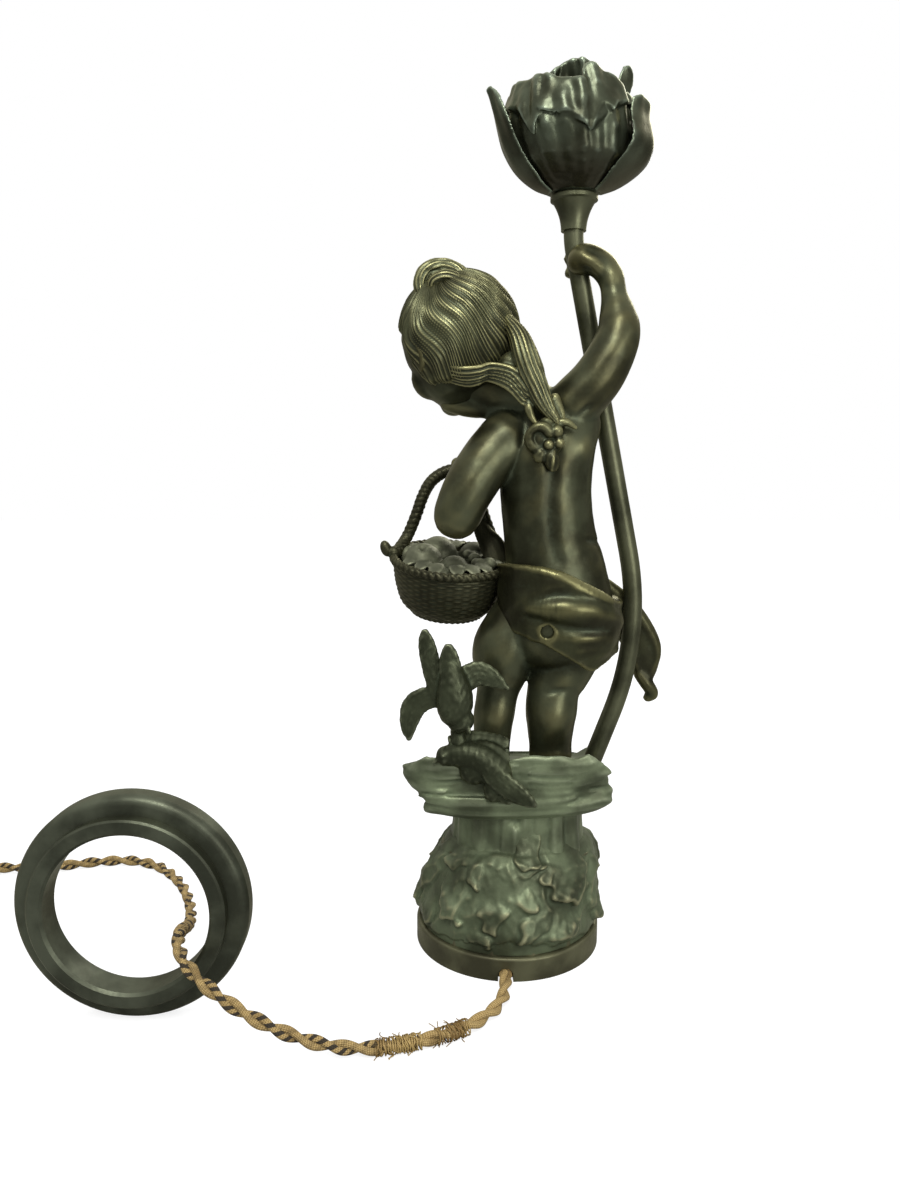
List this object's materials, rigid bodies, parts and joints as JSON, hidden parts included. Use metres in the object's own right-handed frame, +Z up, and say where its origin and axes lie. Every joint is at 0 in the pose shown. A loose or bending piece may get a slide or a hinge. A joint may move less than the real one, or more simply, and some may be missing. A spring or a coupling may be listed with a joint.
{
  "type": "table lamp",
  "caption": "Bronze table lamp: a child with a basket on a log holds a flower stem that carries the lampholder; its foot ring is off and its twisted cord lies beside it.",
  "frame": {"origin": "centre of the plinth's foot, where the loose foot ring seats", "axes": "+Z up along the lamp, +X to the viewer's right, +Y away from the viewer, who sees the figure's back"},
  "size_m": [0.5714, 0.2347, 0.5275],
  "materials": {
    "bronze": "dark olive patina, rubbed gold on high spots",
    "verdigris": "grey-green patina with copper wear",
    "steel": "dull",
    "brass": "aged",
    "porcelain": "glazed",
    "cloth": "twisted cloth-covered pair",
    "copper_wire": "fine wire whipping",
    "rubber": "matte",
    "bakelite": "moulded"
  },
  "bodies": {
    "lamp": {"base_shell": "verdigris", "stump": "verdigris", "log_upper": "verdigris", "log_branch": "verdigris", "bridge_bar": "steel", "tie_rod": "steel", "tie_washer": "steel", "tie_nut": "steel", "grub_screw": "steel", "figure_body": "bronze", "figure_head": "bronze", "figure_hair": "bronze", "back_rosette": "bronze", "arm_right": "bronze", "arm_left": "bronze", "drapery": "bronze", "drapery_tail": "bronze", "basket_bowl": "bronze", "basket_fruit": "verdigris", "basket_handle": "bronze", "bird_perched": "verdigris", "bird_flying": "verdigris", "stem_tube": "bronze", "calyx": "bronze", "nipple": "brass", "shade_nut": "brass", "holder_cap": "brass", "holder_insulator": "porcelain", "holder_shell": "brass", "terminal_wires": "rubber", "inner_cord": "cloth", "foot_ring": "verdigris", "cord_run": "cloth", "cord_bindings": "copper_wire", "cord_coil": "cloth", "coil_tie": "rubber", "plug_body": "bakelite", "plug_pins": "brass"},
    "flower": {"flower_cup": "bronze", "petals_front": "bronze", "petals_side": "bronze", "petals_back": "bronze", "petal_left": "bronze", "petal_right": "bronze"},
    "plunger_a": {"plunger_left": "brass"},
    "plunger_b": {"plunger_right": "brass"}
  },
  "joints": [
    {"name": "flower_turn", "type": "hinge", "parent": "lamp", "child": "flower", "pos_m": [0.036, 0.01, 0.45], "axis": [0, 0, 1], "continuous": true},
    {"name": "plunger_a_press", "type": "slide", "parent": "lamp", "child": "plunger_a", "axis": [0, 0, -1], "range_m": [0, 0.002], "stiffness_N_per_m": 900, "springref_m": -0.001},
    {"name": "plunger_b_press", "type": "slide", "parent": "lamp", "child": "plunger_b", "axis": [0, 0, -1], "range_m": [0, 0.002], "stiffness_N_per_m": 900, "springref_m": -0.001}
  ]
}
